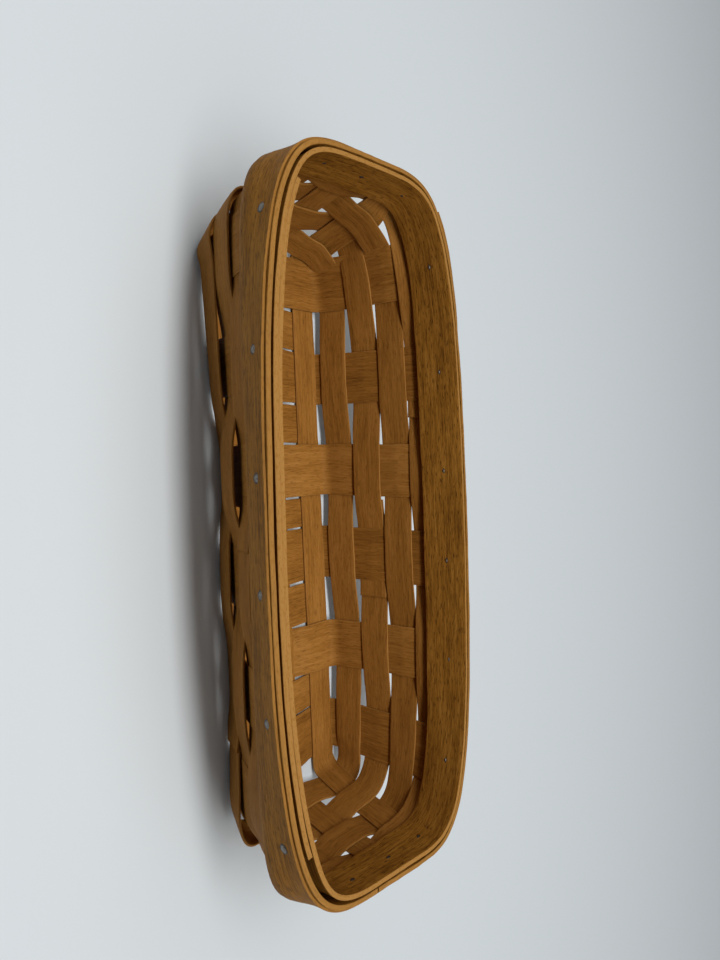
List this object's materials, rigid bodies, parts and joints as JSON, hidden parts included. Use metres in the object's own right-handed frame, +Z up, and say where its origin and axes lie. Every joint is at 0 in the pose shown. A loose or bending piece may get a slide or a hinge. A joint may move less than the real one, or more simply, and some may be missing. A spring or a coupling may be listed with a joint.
{
  "type": "woven cracker basket",
  "caption": "Long, low, flared basket woven from flat stained wood splints, with a layered rim of bent wood bands held by small nails; holds a sleeve of crackers.",
  "frame": {"origin": "middle of the underside, on the surface that the basket stands on", "axes": "+X along the length, +Y across the width, +Z up"},
  "size_m": [0.293, 0.121, 0.0724],
  "materials": {
    "splint_wood": "honey-brown stained maple splint, satin, straight grain",
    "band_wood": "honey-brown stained bent band with fine streaks and pale cut edges",
    "nail_steel": "dull grey steel nail heads"
  },
  "bodies": {
    "root": {"lengthwise_splint_1": "splint_wood", "lengthwise_splint_2": "splint_wood", "lengthwise_splint_3": "splint_wood", "crosswise_splint_1": "splint_wood", "crosswise_splint_2": "splint_wood", "crosswise_splint_3": "splint_wood", "crosswise_splint_4": "splint_wood", "crosswise_splint_5": "splint_wood", "crosswise_splint_6": "splint_wood", "filler_splint_1": "splint_wood", "filler_splint_2": "splint_wood", "filler_splint_3": "splint_wood", "filler_splint_4": "splint_wood", "filler_splint_5": "splint_wood", "wall_weaver_1": "splint_wood", "wall_weaver_2": "splint_wood", "wall_weaver_3": "splint_wood", "wall_weaver_4": "splint_wood", "inner_rim_band": "band_wood", "top_rim_band": "band_wood", "outer_rim_band": "band_wood", "rim_nail_1": "nail_steel", "rim_nail_2": "nail_steel", "rim_nail_3": "nail_steel", "rim_nail_4": "nail_steel", "rim_nail_5": "nail_steel", "rim_nail_6": "nail_steel", "rim_nail_7": "nail_steel", "rim_nail_8": "nail_steel", "rim_nail_9": "nail_steel", "rim_nail_10": "nail_steel", "rim_nail_11": "nail_steel", "rim_nail_12": "nail_steel", "rim_nail_13": "nail_steel", "rim_nail_14": "nail_steel", "rim_nail_15": "nail_steel", "rim_nail_16": "nail_steel", "rim_nail_17": "nail_steel", "rim_nail_18": "nail_steel"}
  },
  "joints": []
}
